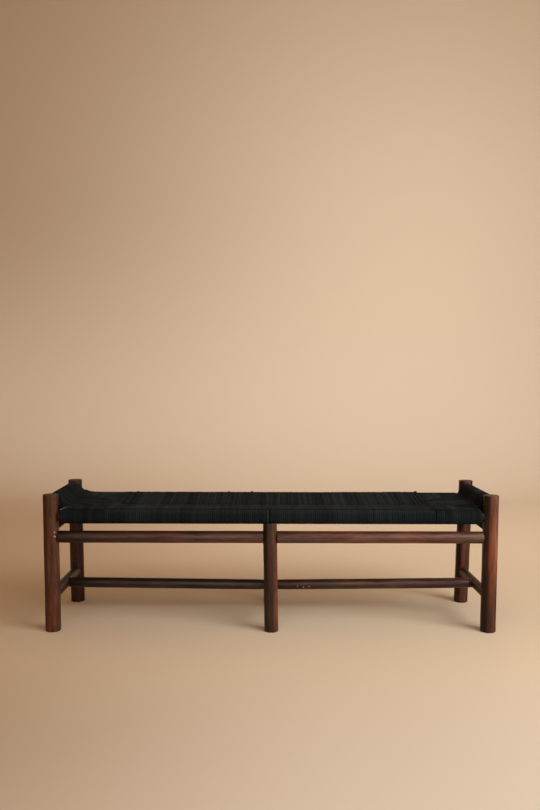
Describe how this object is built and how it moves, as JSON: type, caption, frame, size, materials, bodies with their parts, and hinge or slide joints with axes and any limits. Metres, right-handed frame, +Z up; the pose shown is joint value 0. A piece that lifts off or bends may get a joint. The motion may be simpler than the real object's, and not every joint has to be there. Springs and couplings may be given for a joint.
{
  "type": "charpai bench",
  "caption": "Long low charpai bench: octagonal wooden legs, round tenoned rails and stretchers, and a black cord seat wound over the rails between raised ends.",
  "frame": {"origin": "on the floor under the middle of the bench's bounding box", "axes": "+X along the bench to the right as seen from the front, +Y from front to back, +Z up"},
  "size_m": [1.5082, 0.401, 0.456],
  "materials": {
    "wood": "dark reddish-brown stain, satin, with darker grain and worn arrises",
    "cord": "black twisted cord, matt, slightly hairy"
  },
  "bodies": {
    "root": {"leg_front_left": "wood", "leg_front_middle": "wood", "leg_front_right": "wood", "leg_back_left": "wood", "leg_back_middle": "wood", "leg_back_right": "wood", "seat_rail_front": "wood", "seat_rail_back": "wood", "seat_rail_left": "wood", "seat_rail_right": "wood", "upper_stretcher_front_left": "wood", "upper_stretcher_front_right": "wood", "upper_stretcher_back_left": "wood", "upper_stretcher_back_right": "wood", "upper_crossbar_left": "wood", "upper_crossbar_middle": "wood", "upper_crossbar_right": "wood", "lower_crossbar_left": "wood", "lower_crossbar_middle": "wood", "lower_crossbar_right": "wood", "lower_stretcher_left": "wood", "lower_stretcher_right": "wood", "woven_seat": "cord"}
  },
  "joints": []
}
